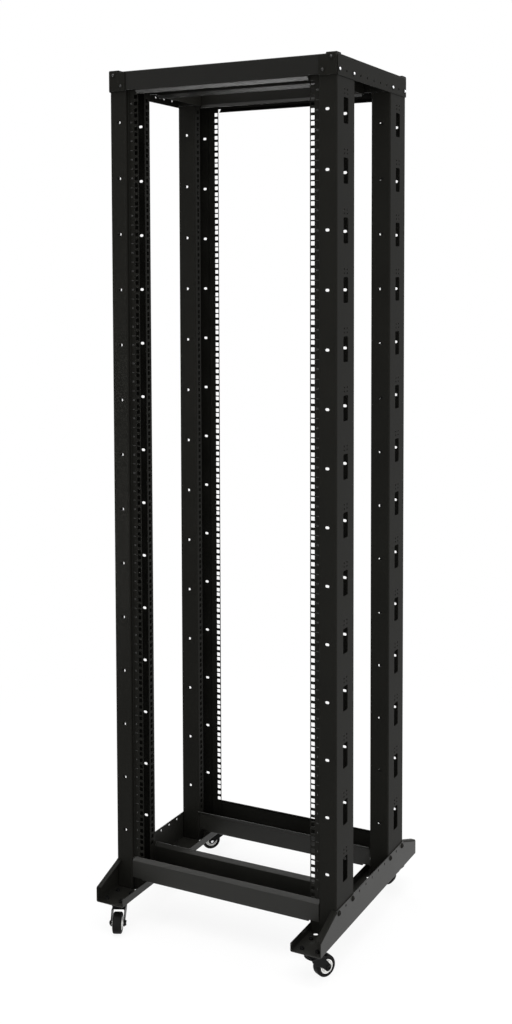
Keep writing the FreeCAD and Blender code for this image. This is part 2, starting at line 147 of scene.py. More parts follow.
def background_share(tree):
    """1 for what sees the studio as a plain white background: the camera, gloss and glass."""
    node = tree.nodes.new("ShaderNodeLightPath")
    camera_ray, glossy_ray, through_ray = (
        Socket(tree, node.outputs[name])
        for name in ("Is Camera Ray", "Is Glossy Ray", "Is Transmission Ray")
    )
    return camera_ray.most(glossy_ray).most(through_ray)


FLOOR_COLOUR = (0.88, 0.88, 0.88, 1)
FLOOR_GLOW_NEAR, FLOOR_GLOW_REACH = 0.86, 2.0
material, output, place = blank_material("studio_floor")
matt = place.node("ShaderNodeBsdfDiffuse", Color=FLOOR_COLOUR)
glow = place.node("ShaderNodeEmission", Color=(1, 1, 1, 1), Strength=1)
distance = place.node("ShaderNodeVectorMath", {"operation": "LENGTH"}, output=1, at0=place)
share = (distance * ((1 - FLOOR_GLOW_NEAR) / FLOOR_GLOW_REACH) + FLOOR_GLOW_NEAR).least(1)
seen = background_share(place.tree) * share
link_surface(output, place.node("ShaderNodeMixShader", at0=seen, at1=matt, at2=glow))
floor.data.materials.append(material)

WORLD_LEVEL = 0.42
world = bpy.data.worlds.new("studio")
bpy.context.scene.world = world
world.use_nodes = True
world.node_tree.nodes.clear()
output = world.node_tree.nodes.new("ShaderNodeOutputWorld")
direct = background_share(world.node_tree)
room = direct.node("ShaderNodeBackground", Color=(1, 1, 1, 1), Strength=WORLD_LEVEL)
white = direct.node("ShaderNodeBackground", Color=(1, 1, 1, 1), Strength=1)
link_surface(output, direct.node("ShaderNodeMixShader", at0=direct, at1=room, at2=white))


def soft_lamp(name, place, aim, size, power, spread=180):
    """A large square lamp that faces a point, its beam narrowed by a grid to an angle in degrees."""
    data = bpy.data.lights.new(name, "AREA")
    data.shape = "SQUARE"
    data.size = size
    data.energy = power
    data.spread = math.radians(spread)
    lamp = bpy.data.objects.new(name, data)
    lamp.location = place
    lamp.rotation_euler = (Vector(aim) - Vector(place)).to_track_quat("-Z", "Y").to_euler()
    bpy.context.scene.collection.objects.link(lamp)


soft_lamp("overhead_lamp", (0.5, -0.5, 4.4), (0, 0, 1.0), 3.2, 150)
soft_lamp("right_lamp", (4.2, 0.4, 1.8), (0, 0, 1.0), 2.6, 34)
soft_lamp("low_right_lamp", (1.7, 0.0, 0.5), (0.3, 0, 0.05), 0.7, 9)
soft_lamp("low_front_lamp", (0.1, -1.8, 0.6), (0, -0.3, 0.05), 0.8, 3.5)
soft_lamp("front_left_lamp", (-2.4, -3.4, 1.6), (0, 0, 1.0), 2.4, 10)
soft_lamp("front_right_lamp", (2.4, -4.1, 1.6), (0, 0, 1.0), 1.8, 60)
soft_lamp("high_left_lamp", (-2.3, -2.5, 4.0), (0, -0.1, 0.15), 1.0, 1.8, 40)
soft_lamp("rear_lamp", (-3.0, 3.4, 2.4), (0, 0, 1.0), 2.6, 110)
soft_lamp("floor_lamp", (-0.85, -0.5, 0.03), (0.1, -0.2, 2.03), 0.35, 3.5, 45)

# ------------------------------------------------------------------ posts
# Each post is one blank of 2 mm steel, punched flat and then folded: a mounting flange with
# three square holes to a unit, a step, a face, the side, the far face and a return lip with
# square holes too. Black powder coating over it leaves the punched edges slightly rounded.

STEEL = 2 * mm
BEND = 2.5 * mm          # radius of every bend, at the middle of the sheet
BEND_STEP = math.radians(18)
EDGE = 0.35 * mm         # rounding that the coating leaves on a cut edge
UNIT = 44.45 * mm
UNITS = 42
UNIT_HOLES = (6.35 * mm, 22.225 * mm, 38.1 * mm)
SIDES = {"left": -1, "right": 1}
ENDS = {"front": -1, "rear": 1}


class Fold:
    """A folded sheet's section: straight runs of its middle line with a round bend at each corner."""

    def __init__(self, corners, radius=BEND):
        points = [Vector(corner) * mm for corner in corners]
        self.radius = radius
        self.stretches = []
        self.runs = []
        length, used = 0.0, 0.0
        for index, start in enumerate(points[:-1]):
            way = (points[index + 1] - start).normalized()
            turn = 0.0
            if index + 2 < len(points):
                onward = (points[index + 2] - points[index + 1]).normalized()
                turn = math.atan2(way.x * onward.y - way.y * onward.x, way.dot(onward))
            kept = radius * math.tan(abs(turn) / 2)
            self.runs.append(length - used)
            straight = (points[index + 1] - start).length - used - kept
            self.stretches.append((length, length + straight, start + way * used, way, 0.0))
            length += straight
            if turn:
                arc = radius * abs(turn)
                corner = points[index + 1] - way * kept
                self.stretches.append((length, length + arc, corner, way, turn))
                length += arc
            used = kept
        self.length = length

    def at(self, run, distance):
        """How far along the flat blank a point lies that is this far from a run's first corner."""
        return self.runs[run] + distance

    def bend_lines(self):
        """Where the blank is divided so that its bends come out round."""
        lines = []
        for start, end, _, _, turn in self.stretches:
            if turn:
                count = max(2, round(abs(turn) / BEND_STEP))
                lines += [start + (end - start) * step / count for step in range(count + 1)]
        return lines

    def point(self, along, out):
        """A point of the folded sheet, by its place along the blank and out from the middle line."""
        for start, end, origin, way, turn in self.stretches:
            if along <= end + 1e-9:
                break
        side = Vector((-way.y, way.x))
        if not turn:
            return origin + way * (along - start) + side * out
        hand = math.copysign(1, turn)
        angle = (along - start) / self.radius * hand
        arm = side * (out - hand * self.radius)
        turned = Vector((
            arm.x * math.cos(angle) - arm.y * math.sin(angle),
            arm.x * math.sin(angle) + arm.y * math.cos(angle),
        ))
        return origin + side * hand * self.radius + turned


def miter(before, corner, after):
    """The outward direction at a corner of a counter-clockwise loop, longer at a sharp corner."""
    first = (corner - before).normalized()
    second = (after - corner).normalized()
    out = Vector((first.y + second.y, -first.x - second.x))
    return out * 2 / out.length_squared


def grown(loop, amount):
    """A counter-clockwise loop with every side moved outward."""
    points = [Vector(point) for point in loop]
    count = len(points)
    return [
        points[i] + miter(points[i - 1], points[i], points[(i + 1) % count]) * amount
        for i in range(count)
    ]


def square_hole(along, height, width, tall, radius, steps=2):
    """A rectangular hole with rounded corners, in the flat blank."""
    loop = []
    for quarter, (right, up) in enumerate(((1, -1), (1, 1), (-1, 1), (-1, -1))):
        centre = Vector((along + right * (width / 2 - radius), height + up * (tall / 2 - radius)))
        for step in range(steps + 1):
            angle = math.radians(90 * (quarter - 1 + step / steps))
            loop.append(centre + Vector((math.cos(angle), math.sin(angle))) * radius)
    return loop


def round_hole(along, height, diameter, steps=20):
    """A round hole in the flat blank."""
    angles = [2 * math.pi * step / steps for step in range(steps)]
    centre = Vector((along, height))
    return [centre + Vector((math.cos(angle), math.sin(angle))) * diameter / 2 for angle in angles]


def oblong_hole(along, height, length, tall, steps=8):
    """A level slot with round ends, in the flat blank."""
    loop = []
    for hand, start in ((1, -90), (-1, 90)):
        centre = Vector((along + hand * (length - tall) / 2, height))
        for step in range(steps + 1):
            angle = math.radians(start + 180 * step / steps)
            loop.append(centre + Vector((math.cos(angle), math.sin(angle))) * tall / 2)
    return loop


SHARP_ANGLE = math.radians(35)


def new_piece(name, mesh, body, material, replaced=()):
    """Put a mesh in the scene as a piece of the rack, smooth except at its sharp edges."""
    piece = bpy.data.objects.new(name, mesh)
    bpy.context.scene.collection.objects.link(piece)
    mesh.materials.append(material)
    mesh.shade_smooth()
    mesh.set_sharp_from_angle(angle=SHARP_ANGLE)
    weighted = piece.modifiers.new("even_shading", "WEIGHTED_NORMAL")
    weighted.keep_sharp = True
    weighted.weight = 100
    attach(piece, body)
    if replaced:
        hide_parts(*replaced)
    return piece


def frame_piece(name, mesh, material, replaced=()):
    """A piece of the rack's fixed frame, in the material given."""
    return new_piece(name, mesh, "rack_frame", material, replaced)


def solid_mesh(name, points, faces):
    """A mesh without loose points, its faces all turned outward."""
    mesh = bpy.data.meshes.new(name)
    mesh.from_pydata(points, [], faces)
    shape = bmesh.new()
    shape.from_mesh(mesh)
    loose = [vertex for vertex in shape.verts if not vertex.link_faces]
    bmesh.ops.delete(shape, geom=loose, context="VERTS")
    bmesh.ops.recalc_face_normals(shape, faces=shape.faces)
    shape.to_mesh(mesh)
    shape.free()
    return mesh


def pressed_mesh(name, fold, outline, holes, place, thickness=STEEL):
    """The mesh of a blank with punched holes, folded along its section and put in the rack."""
    loops = [grown(outline, -EDGE)] + [grown(hole, EDGE) for hole in holes]
    points, edges, faces = [], [], []
    for loop in loops:
        ring = list(range(len(points), len(points) + len(loop)))
        points += loop
        edges += list(zip(ring, ring[1:] + ring[:1]))
        faces.append(ring)
    lowest = min(point.y for point in points) - EDGE
    highest = max(point.y for point in points) + EDGE
    for along in fold.bend_lines():
        edges.append((len(points), len(points) + 1))
        points += [Vector((along, lowest)), Vector((along, highest))]
    cut = geometry.delaunay_2d_cdt(points, edges, faces, 0, 1e-8, True)
    flat, triangles, inside = cut[0], cut[2], cut[5]
    kept = [tuple(face) for face, loops_round in zip(triangles, inside) if loops_round == [0]]

    sides = {(a, b) for face in kept for a, b in zip(face, face[1:] + face[:1])}
    after = {a: b for a, b in sides if (b, a) not in sides}
    before = {b: a for a, b in after.items()}
    half_sheet = thickness / 2
    layers = [[(point, half_sheet) for point in flat], [(point, -half_sheet) for point in flat]]
    rim = {corner: number for number, corner in enumerate(after)}
    moved = [
        flat[corner] + miter(flat[before[corner]], flat[corner], flat[after[corner]]) * EDGE
        for corner in rim
    ]
    layers.append([(point, half_sheet - EDGE) for point in moved])
    layers.append([(point, EDGE - half_sheet) for point in moved])
    starts = [0, len(flat), 2 * len(flat), 2 * len(flat) + len(rim)]
    mesh_faces = list(kept) + [tuple(starts[1] + corner for corner in reversed(face)) for face in kept]
    for corner, number in rim.items():
        following = after[corner]
        other = rim[following]
        mesh_faces.append((following, corner, starts[2] + number, starts[2] + other))
        mesh_faces.append((
            starts[2] + other, starts[2] + number, starts[3] + number, starts[3] + other
        ))
        mesh_faces.append((
            starts[3] + other, starts[3] + number, starts[1] + corner, starts[1] + following
        ))
    corners = [place(fold.point(point.x, out), point.y) for layer in layers for point, out in layer]
    return solid_mesh(name, corners, mesh_faces)


def black_coating(name, gloss, smoothest, painted_shade=1.0):
    """Black powder coating with a fine grain, cloudy by a shade from place to place, its tone multiplied
    by a painted shade factor that darkens some copies.
    """
    material, output, place = blank_material(name)
    grain = place.node("ShaderNodeTexNoise", Vector=place, Scale=1400.0, Detail=2.0)
    cloud = place.node("ShaderNodeTexNoise", Vector=place, Scale=9.0, Detail=3.0)
    # The last factor darkens the whole coat as painted shade; it is not a different paint.
    tone = (cloud * 0.004 + 0.0065) * painted_shade
    coat = place.node(
        "ShaderNodeBsdfPrincipled",
        Base_Color=place.node("ShaderNodeCombineColor", Red=tone, Green=tone * 0.98, Blue=tone * 0.82),
        Roughness=grain * 0.12 + cloud * 0.08 + smoothest,
        Normal=place.node("ShaderNodeBump", Strength=0.35, Distance=0.00012, Height=grain),
        Specular_IOR_Level=gloss,
    )
    link_surface(output, coat)
    return material


# A copy of the black coat with its tone darkened to 0.8 as painted shade. It is used for the posts, side
# rails, corner plates, slope flanges, washers and foot bolts.
coating = black_coating("textured_black_painted_shade", 0.045, 0.42, 0.8)

rack_high = cad_box[1]
post_low, post_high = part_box("post_front_right")
POST_FOOT = post_low.z
POST_TOP = post_high.z
BAY_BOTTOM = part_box("base_beam_front")[1].z
BAY_TOP = BAY_BOTTOM + UNITS * UNIT
SQUARE_SIDE = 9.5 * mm
SQUARE_CORNER = 0.9 * mm
POST_SECTION = ((226, 198), (254, 198), (254, 209), (296, 209), (296, 111), (248, 111), (248, 136))
FLANGE, FACE, SIDE, FAR_FACE, LIP = 0, 2, 3, 4, 5
SQUARE_ACROSS = (232.56 - 226) * mm
FACE_HOLE_ACROSS = (273.5 - 254) * mm
FAR_HOLE_ACROSS = (296 - 273.5) * mm
FACE_HOLE_LENGTH, FACE_HOLE_HEIGHT = 10 * mm, 6.4 * mm
SLOT_ACROSS = (209 - 160) * mm
SLOT_WIDTH, SLOT_HEIGHT, SLOT_CORNER = 26 * mm, 58 * mm, 4 * mm
SMALL_HOLE = 4.5 * mm
SLOT_NEIGHBOURS = [(across, up) for across in (-8, 8) for up in (38, 47)]
LIP_HOLE_ACROSS = 14 * mm
GROUP = 3                # units from one face hole to the next


def at_corner(end, side):
    """Puts a section drawn for the outer corner of the rack at one of its four corners."""
    return lambda point, height: Vector((side * point.x, end * point.y, height))


def post_holes(fold):
    """Every hole that is punched in a post's blank."""
    holes = []
    for unit in range(UNITS):
        for rise in UNIT_HOLES:
            height = BAY_BOTTOM + unit * UNIT + rise
            for along in (fold.at(FLANGE, SQUARE_ACROSS), fold.at(LIP, LIP_HOLE_ACROSS)):
                holes.append(square_hole(along, height, SQUARE_SIDE, SQUARE_SIDE, SQUARE_CORNER))
    for group in range(UNITS // GROUP):
        height = BAY_BOTTOM + (group + 0.5) * GROUP * UNIT
        for face in (fold.at(FACE, FACE_HOLE_ACROSS), fold.at(FAR_FACE, FAR_HOLE_ACROSS)):
            holes.append(oblong_hole(face, height, FACE_HOLE_LENGTH, FACE_HOLE_HEIGHT))
        middle = fold.at(SIDE, SLOT_ACROSS)
        holes.append(square_hole(middle, height, SLOT_WIDTH, SLOT_HEIGHT, SLOT_CORNER, 4))
        for across, up in SLOT_NEIGHBOURS:
            holes.append(round_hole(middle + across * mm, height + up * mm, SMALL_HOLE, 12))
    return holes


post_fold = Fold(POST_SECTION)
post_outline = [
    (0, POST_FOOT), (post_fold.length, POST_FOOT), (post_fold.length, POST_TOP), (0, POST_TOP)
]
for end_name, end in ENDS.items():
    for side_name, side in SIDES.items():
        mesh = pressed_mesh("post", post_fold, post_outline, post_holes(post_fold), at_corner(end, side))
        corner = f"{end_name}_{side_name}"
        frame_piece(f"folded_post_{corner}", mesh, coating, [f"post_{corner}"])

# ------------------------------------------------------------------ unit numbers
# Small dull grey numbers and a tick at the foot of each unit are screen printed on the
# mounting flanges, between the square holes and the step, so that equipment lines up.

NUMBER_HEIGHT = 4.2 * mm
NUMBER_ACROSS = 244.5 * mm
FIGURE_SHARE = 0.7       # a figure's height as a share of its type size
TICK_WIDTH, TICK_HEIGHT = 7 * mm, 0.6 * mm
INK_LIFT = 0.12 * mm
FLANGE_FACE = 199 * mm

material, output, place = blank_material("pale_print")
speckle = place.node("ShaderNodeTexNoise", Vector=place, Scale=900.0, Detail=2.0)
tone = speckle * 0.03 + 0.045
ink = place.node(
    "ShaderNodeBsdfPrincipled",
    Base_Color=place.node("ShaderNodeCombineColor", Red=tone, Green=tone, Blue=tone),
    Roughness=speckle * 0.1 + 0.5,
)
link_surface(output, ink)
print_ink = material


def number_outline(number):
    """The flat mesh of a unit's number, centred on the origin."""
    curve = bpy.data.curves.new("number", "FONT")
    curve.body = str(number)
    curve.size = NUMBER_HEIGHT / FIGURE_SHARE
    curve.align_x = "CENTER"
    curve.align_y = "CENTER"
    curve.resolution_u = 2
    text = bpy.data.objects.new("number", curve)
    bpy.context.scene.collection.objects.link(text)
    bpy.context.view_layer.update()
    mesh = bpy.data.meshes.new_from_object(text)
    bpy.data.objects.remove(text)
    points = [Vector(vertex.co) for vertex in mesh.vertices]
    return points, [tuple(face.vertices) for face in mesh.polygons]


numbers = [number_outline(unit + 1) for unit in range(UNITS)]


def unit_scale(name, end, side):
    """The printed numbers and ticks of one mounting flange, as one thin piece."""
    points, faces = [], []
    across = side * NUMBER_ACROSS
    depth = end * (FLANGE_FACE + INK_LIFT)
    for unit in range(UNITS):
        base = BAY_BOTTOM + unit * UNIT
        drawn, drawn_faces = numbers[unit]
        first = len(points)
        for point in drawn:
            points.append((across - end * point.x, depth, base + UNIT / 2 + point.y))
        faces += [tuple(first + corner for corner in face) for face in drawn_faces]
        first = len(points)
        for right, up in ((-1, -1), (1, -1), (1, 1), (-1, 1)):
            points.append((across + right * TICK_WIDTH / 2, depth, base + up * TICK_HEIGHT / 2))
        order = (0, 1, 2, 3) if end < 0 else (3, 2, 1, 0)
        faces.append(tuple(first + corner for corner in order))
    mesh = bpy.data.meshes.new(name)
    mesh.from_pydata(points, [], faces)
    return mesh


for end_name, end in ENDS.items():
    for side_name, side in SIDES.items():
        name = f"unit_numbers_{end_name}_{side_name}"
        frame_piece(name, unit_scale(name, end, side), print_ink)

# ------------------------------------------------------------------ top beams
# Each top beam is an inverted channel that caps a pair of posts. Between the mounting
# flanges both of its walls end in a sloping hem, which stiffens the open edge.

PLATE = 3 * mm
RACK_TOP = rack_high.z - PLATE
HEM = 8                  # sections are drawn in millimetres, along the middle of the sheet
HALF_SHEET = 1
top_mm = RACK_TOP / mm
bay_top_mm = BAY_TOP / mm
TOP_SECTION = (
    (211 - HEM, bay_top_mm), (211, bay_top_mm + HEM), (211, top_mm - HALF_SHEET),
    (109, top_mm - HALF_SHEET), (109, bay_top_mm + HEM), (109 - HEM, bay_top_mm),
)


def across_rack(end):
    """Puts a section drawn in depth and height at one end of the rack, with its length across."""
    return lambda point, across: Vector((across, end * point.x, point.y))


def both_halves(half):
    """A blank's outline from the half that comes first: the other half is its mirror image."""
    return half + [(along, -across) for along, across in reversed(half)]


HALF_WIDTH = 297 * mm
HALF_OPENING = 225.5 * mm
top_fold = Fold(TOP_SECTION)
hem_ends = top_fold.at(1, 0), top_fold.at(4, 0)
slack = 1.5 * mm
top_outline = both_halves([
    (0, -HALF_OPENING), (hem_ends[0] + slack, -HALF_OPENING), (hem_ends[0] + slack, -HALF_WIDTH),
    (hem_ends[1] - slack, -HALF_WIDTH), (hem_ends[1] - slack, -HALF_OPENING),
    (top_fold.length, -HALF_OPENING),
])
# The top beams' coat is the same black coat, glossier, with its tone darkened to 0.6 as painted shade.
sleek_coating = black_coating("sleek_black_coating_painted_shade", 0.12, 0.30, 0.6)
for end_name, end in ENDS.items():
    mesh = pressed_mesh("top_beam", top_fold, top_outline, [], across_rack(end))
    frame_piece(f"capping_beam_{end_name}", mesh, sleek_coating, [f"top_beam_{end_name}"])

# ------------------------------------------------------------------ base beams
# A base beam is the same channel the other way up. Its outer wall runs on over the mounting
# flanges, level with the faces of the posts, and its inner wall runs on to their lips.

base_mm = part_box("base_beam_front")[0].z / mm
bay_mm = BAY_BOTTOM / mm
BASE_SECTION = (
    (209 - HEM, bay_mm), (209, bay_mm - HEM), (209, base_mm + HALF_SHEET),
    (113, base_mm + HALF_SHEET), (113, bay_mm - HEM), (113 - HEM, bay_mm),
)
HALF_FACE_GAP = 252.5 * mm
HALF_LIP_GAP = 246.5 * mm
FACE_EDGE = 41 * mm      # how far down its wall the wide part of a base beam reaches
base_fold = Fold(BASE_SECTION)
face_foot = base_fold.at(1, FACE_EDGE)
back_foot = base_fold.length - face_foot
base_outline = both_halves([
    (0, -HALF_FACE_GAP), (face_foot, -HALF_FACE_GAP), (face_foot, -HALF_OPENING),
    (back_foot, -HALF_OPENING), (back_foot, -HALF_LIP_GAP), (base_fold.length, -HALF_LIP_GAP),
])
satin_coating = black_coating("satin_black_coating", 0.24, 0.32)
for end_name, end in ENDS.items():
    mesh = pressed_mesh("base_beam", base_fold, base_outline, [], across_rack(end))
    frame_piece(f"base_channel_{end_name}", mesh, satin_coating, [f"base_beam_{end_name}"])

# ------------------------------------------------------------------ side members
# A side member closes each side of the top: its outer wall laps over both posts, and its
# top and inner wall fill the space between the two top beams.

SIDE_TALL = 48
side_foot_mm = top_mm - SIDE_TALL
side_top_mm = top_mm - HALF_SHEET
SIDE_SECTION = ((228, side_foot_mm), (228, side_top_mm), (298, side_top_mm), (298, side_foot_mm))
BOLT_PLACES = (-200, -120, 120, 200)
HOLE_PLACES = [place_mm for place_mm in range(-160, 161, 40) if place_mm not in BOLT_PLACES]
WALL_HOLE = 5.5 * mm
WALL_HOLE_HEIGHT = RACK_TOP - 34 * mm
side_fold = Fold(SIDE_SECTION)


def along_side(side):
    """Puts a section drawn in width and height on one side of the rack, with its length in depth."""
    return lambda point, along: Vector((side * point.x, along, point.y))


HALF_DEPTH = 210 * mm
HALF_BETWEEN = 107.9 * mm
LAP_START = 4 * mm       # how far below the top bend the outer wall widens over the posts
wall_start = side_fold.at(2, LAP_START)
side_outline = both_halves([
    (0, -HALF_BETWEEN), (wall_start, -HALF_BETWEEN), (wall_start, -HALF_DEPTH),
    (side_fold.length, -HALF_DEPTH),
])
wall_hole_down = (RACK_TOP - mm) - WALL_HOLE_HEIGHT
wall_holes = [
    round_hole(side_fold.at(2, wall_hole_down), place_mm * mm, WALL_HOLE, 14)
    for place_mm in HOLE_PLACES
]
for side_name, side in SIDES.items():
    mesh = pressed_mesh("side_member", side_fold, side_outline, wall_holes, along_side(side))
    frame_piece(f"top_side_rail_{side_name}", mesh, coating, [f"side_member_{side_name}"])

# ------------------------------------------------------------------ corner plates
# A plate of 3 mm steel laps over each end of a top beam, and a narrow tab at its outer edge
# folds back over the top. Two bolts hold it to the beam and the post behind.

PLATE_TALL = 50
PLATE_RETURN_END = 188
HALF_PLATE = 1.5
plate_foot_mm = top_mm + 2 * HALF_PLATE - PLATE_TALL
plate_middle_mm = top_mm + HALF_PLATE
PLATE_SECTION = ((213.5, plate_foot_mm), (213.5, plate_middle_mm), (PLATE_RETURN_END, plate_middle_mm))
PLATE_EDGES = (253 * mm, 297 * mm)
TAB_EDGE = 272 * mm
TAB_ROOT = 45 * mm
plate_fold = Fold(PLATE_SECTION)
tab_root = plate_fold.at(0, TAB_ROOT)
plate_outline = [
    (0, PLATE_EDGES[0]), (tab_root, PLATE_EDGES[0]), (tab_root, TAB_EDGE), (plate_fold.length, TAB_EDGE),
    (plate_fold.length, PLATE_EDGES[1]), (0, PLATE_EDGES[1]),
]
for end_name, end in ENDS.items():
    for side_name, side in SIDES.items():
        corner = f"{end_name}_{side_name}"

        def put_plate(point, across):
            return Vector((side * across, end * point.x, point.y))

        mesh = pressed_mesh("corner_plate", plate_fold, plate_outline, [], put_plate, PLATE)
        frame_piece(f"corner_angle_{corner}", mesh, coating, [f"corner_plate_{corner}"])

# ------------------------------------------------------------------ feet
# Each foot is an open channel that the posts stand in: a floor with four round holes, a low
# inner wall, and a tall outer wall that slopes down to both ends, with a flange folded in
# along each slope.

FOOT_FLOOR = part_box("foot_right")[0].z
foot_mm = FOOT_FLOOR / mm
FOOT_SECTION = ((224, foot_mm + 20), (224, foot_mm + 1), (298, foot_mm + 1), (298, foot_mm + 70))
HALF_FOOT = 300 * mm
SLOPE = 90 * mm
END_RISE = 38 * mm
FULL_RISE = 70 * mm
FLOOR_HOLE = 11 * mm
FLOOR_HOLE_PLACES = (-206, -114, 114, 206)
FLOOR_HOLE_ACROSS = (243 - 224) * mm
FOOT_WALL_HOLE_RISE = 61 * mm
FOOT_WALL_HOLE = 6 * mm
foot_fold = Fold(FOOT_SECTION)
fold_gap = BEND + STEEL / 2
low_edge = foot_fold.at(2, END_RISE - mm - fold_gap)
high_edge = foot_fold.at(2, FULL_RISE - mm)
slope_top = HALF_FOOT - SLOPE
SLOPE_EASE = 0.35        # the top of each slope is eased over this share of the bend's height
slope_drop = fold_gap * SLOPE_EASE
foot_outline = both_halves([
    (0, -HALF_FOOT), (low_edge, -HALF_FOOT), (high_edge - fold_gap, -slope_top - slope_drop),
    (high_edge, -slope_top + slope_drop),
])
foot_holes = [
    round_hole(foot_fold.at(1, FLOOR_HOLE_ACROSS), place_mm * mm, FLOOR_HOLE)
    for place_mm in FLOOR_HOLE_PLACES
]
foot_holes += [
    round_hole(foot_fold.at(2, FOOT_WALL_HOLE_RISE), place_mm * mm, FOOT_WALL_HOLE, 14)
    for place_mm in HOLE_PLACES
]
FLANGE_WIDTH = 14 * mm
SEAM = 0.1 * mm          # between the wall's sloping edge and its flange


def slope_flange_mesh(side, end):
    """The flange along one slope: a bend that rises from the wall's sloping edge, then a strip."""
    top = Vector((end * slope_top, FOOT_FLOOR + FULL_RISE))
    foot_point = Vector((end * HALF_FOOT, FOOT_FLOOR + END_RISE))
    way = (foot_point - top).normalized()
    up = Vector((-way.y, way.x)) * end
    fold = Fold(((298, 0), (298, fold_gap / mm), (298 - (FLANGE_WIDTH / mm - 1), fold_gap / mm)))
    length = (foot_point - top).length
    outline = [(SEAM, 0), (fold.length, 0), (fold.length, length), (SEAM, length)]

    def put(point, along):
        place = top + way * along + up * (point.y - fold_gap - STEEL / 2)
        return Vector((side * point.x, place.x, place.y))

    return pressed_mesh("slope_flange", fold, outline, [], put)


for side_name, side in SIDES.items():
    mesh = pressed_mesh("foot", foot_fold, foot_outline, foot_holes, along_side(side))
    frame_piece(f"foot_channel_{side_name}", mesh, satin_coating, [f"foot_{side_name}"])
    for end_name, end in ENDS.items():
        name = f"foot_slope_flange_{end_name}_{side_name}"
        # Each slope flange takes the darker, duller coat of the posts instead of its foot's satin coat:
        # painted shade.
        frame_piece(name, slope_flange_mesh(side, end), coating)

# ------------------------------------------------------------------ bolts
# Button head bolts with a hexagon socket hold the rack together. Those in the side members
# are bright zinc on black washers, those through the feet are black like the frame, and those
# of the corner plates are blackened steel.


def band(lower, upper):
    """The four-sided faces between two rings of as many points."""
    steps = len(lower)
    return [
        (lower[step], lower[(step + 1) % steps], upper[(step + 1) % steps], upper[step])
        for step in range(steps)
    ]


def turned(profile, steps=32, ends="open"):
    """A turned shape from (radius, height) points, its ends left open, capped or joined."""
    points, faces = [], []
    for radius, height in profile:
        for step in range(steps):
            angle = 2 * math.pi * step / steps
            points.append(Vector((radius * math.cos(angle), radius * math.sin(angle), height)))
    rings = [list(range(start, start + steps)) for start in range(0, len(points), steps)]
    pairs = list(zip(rings, rings[1:]))
    if ends == "joined":
        pairs.append((rings[-1], rings[0]))
    for lower, upper in pairs:
        faces += band(lower, upper)
    if ends == "capped":
        faces += [tuple(reversed(rings[0])), tuple(rings[-1])]
    return points, faces


def hexagon_reach(across, angle):
    """How far a hexagon's side lies from its middle, in a direction."""
    corner = (angle % (math.pi / 3)) - math.pi / 6
    return across / 2 / math.cos(corner)


def button_head(radius, height, socket_width):
    """A domed head with a hexagon socket, its seat at height 0 and its axis along Z."""
    steps, rows = 36, 6
    rim_angle, crown_angle = math.radians(8), math.radians(70)
    dome = []
    for row in range(rows + 1):
        angle = rim_angle + (crown_angle - rim_angle) * row / rows
        across = radius * math.cos(angle) / math.cos(rim_angle)
        dome.append((across, height * math.sin(angle) / math.sin(crown_angle)))
    points, faces = turned([(radius * 0.96, 0), (radius, height * 0.04)] + dome, steps)
    previous = list(range(len(points) - steps, len(points)))
    for depth, scale in ((height, 1.0), (height - 0.25 * mm, 0.94), (height * 0.35, 0.94)):
        ring = []
        for step in range(steps):
            angle = 2 * math.pi * step / steps
            reach = hexagon_reach(socket_width, angle) * scale
            ring.append(len(points))
            points.append(Vector((reach * math.cos(angle), reach * math.sin(angle), depth)))
        faces += band(previous, ring)
        previous = ring
    faces.append(tuple(previous))
    faces.append(tuple(reversed(range(steps))))
    return points, faces


def gathered(name, shapes, places):
    """One mesh of many copies: each place is a matrix for one of the shapes."""
    points, faces = [], []
    for (shape_points, shape_faces), matrix in zip(shapes, places):
        first = len(points)
        points += [matrix @ point for point in shape_points]
        faces += [tuple(first + corner for corner in face) for face in shape_faces]
    return solid_mesh(name, points, faces)


def facing(place, direction, turn=0.0):
    """A matrix that puts a shape's seat at a place with its axis along a direction."""
    spin = Matrix.Rotation(turn, 4, "Z")
    lean = Vector(direction).to_track_quat("Z", "Y").to_matrix().to_4x4()
    return Matrix.Translation(place) @ lean @ spin


material, output, place = blank_material("bright_zinc")
brushing = place.node("ShaderNodeTexNoise", Vector=place, Scale=260.0, Detail=4.0)
spangle = place.node("ShaderNodeTexNoise", Vector=place, Scale=45.0, Detail=2.0)
tone = brushing * 0.10 + 0.68
zinc = place.node(
    "ShaderNodeBsdfPrincipled",
    Base_Color=place.node("ShaderNodeCombineColor", Red=tone, Green=tone * 1.01, Blue=tone * 1.04),
    Metallic=1.0,
    Roughness=brushing * 0.14 + spangle * 0.10 + 0.14,
)
link_surface(output, zinc)
zinc_plate = material

material, output, place = blank_material("blackened_steel")
clouding = place.node("ShaderNodeTexNoise", Vector=place, Scale=180.0, Detail=3.0)
tone = clouding * 0.03 + 0.03
oxide = place.node(
    "ShaderNodeBsdfPrincipled",
    Base_Color=place.node("ShaderNodeCombineColor", Red=tone, Green=tone, Blue=tone),
    Metallic=1.0,
    Roughness=clouding * 0.12 + 0.24,
)
link_surface(output, oxide)
blackened_steel = material

small_head = button_head(3.4 * mm, 2.4 * mm, 2.4 * mm)
large_head = button_head(6.5 * mm, 3.8 * mm, 5.0 * mm)
WASHER = 0.9 * mm
washer = turned(
    [(3 * mm, 0), (6.1 * mm, 0), (6.4 * mm, 0.3 * mm), (6.1 * mm, WASHER), (3 * mm, WASHER)],
    ends="joined",
)
on_washer = Matrix.Translation((0, 0, WASHER))
PLATE_BOLTS = ((285 * mm, RACK_TOP - 8 * mm), (264 * mm, RACK_TOP - 35 * mm))
WALL_FACE = 299 * mm
PLATE_FACE = 215 * mm
